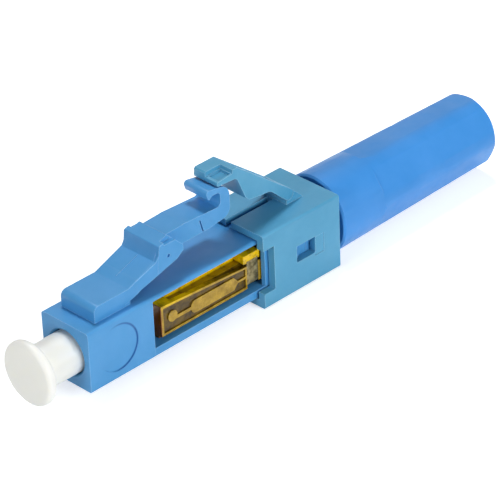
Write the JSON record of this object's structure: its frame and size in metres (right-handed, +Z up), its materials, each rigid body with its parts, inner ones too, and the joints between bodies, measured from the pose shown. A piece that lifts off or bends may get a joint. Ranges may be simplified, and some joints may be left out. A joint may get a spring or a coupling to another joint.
{
  "type": "lc fibre connector",
  "caption": "Field-installable LC fibre plug with square nose, curled latch, trigger clip, windowed splice holder, tail nut and dust cap.",
  "frame": {"origin": "On the fibre axis at the front face of the plug housing.", "axes": "+X runs back along the fibre to the cable entry, +Z is up through the latch, +Y completes the set."},
  "size_m": [0.0435, 0.006, 0.0111],
  "materials": {
    "cap_plastic": "milky white soft plastic",
    "plug_plastic": "light blue moulded plastic, satin",
    "ferrule_ceramic": "polished white zirconia ceramic",
    "steel": "bright stainless steel",
    "fibre_glass": "bare silica fibre",
    "splice_plastic": "clear amber moulded plastic",
    "rear_plastic": "teal blue moulded plastic, satin",
    "nut_plastic": "bright blue moulded plastic, satin"
  },
  "bodies": {
    "connector_body": {"plug_housing": "plug_plastic", "rear_housing": "rear_plastic", "backbone": "plug_plastic", "float_spring": "steel"},
    "latch": {"latch_lever": "plug_plastic"},
    "trigger": {"trigger_lever": "rear_plastic"},
    "ferrule_unit": {"ferrule": "ferrule_ceramic", "ferrule_flange": "steel", "fibre_stub": "fibre_glass", "splice_base": "splice_plastic", "splice_cover": "splice_plastic", "splice_clip": "steel"},
    "cap": {"dust_cap": "cap_plastic"},
    "cable_grip": {"cable_collet": "nut_plastic"},
    "nut": {"tail_nut": "nut_plastic"}
  },
  "joints": [
    {"name": "trigger_press", "type": "hinge", "parent": "connector_body", "child": "trigger", "pos_m": [0.01995, 0, 0.00365], "axis": [0, -1, 0], "range_deg": [0, 12], "stiffness_Nm_per_rad": 0.05},
    {"name": "latch_press", "type": "hinge", "parent": "connector_body", "child": "latch", "pos_m": [0.00445, 0, 0.00314], "axis": [0, 1, 0], "range_deg": [0, 11.1], "stiffness_Nm_per_rad": 0.05},
    {"name": "ferrule_float", "type": "slide", "parent": "connector_body", "child": "ferrule_unit", "axis": [1, 0, 0], "range_m": [0, 0.0008], "stiffness_N_per_m": 2500, "deforming": ["float_spring"]},
    {"name": "cap_pull", "type": "slide", "parent": "connector_body", "child": "cap", "axis": [-1, 0, 0], "range_m": [0, 0.008]},
    {"name": "nut_turn", "type": "hinge", "parent": "cable_grip", "child": "nut", "pos_m": [0.03, 0, 0], "axis": [1, 0, 0], "range_deg": [0, 2160]},
    {"name": "nut_travel", "type": "slide", "parent": "connector_body", "child": "cable_grip", "axis": [1, 0, 0], "range_m": [0, 0.0048]}
  ],
  "couplings": [
    {"joint": "latch_press", "follows": "trigger_press", "ratio": 0.92},
    {"joint": "nut_turn", "follows": "nut_travel", "rad_per_m": 7854}
  ]
}
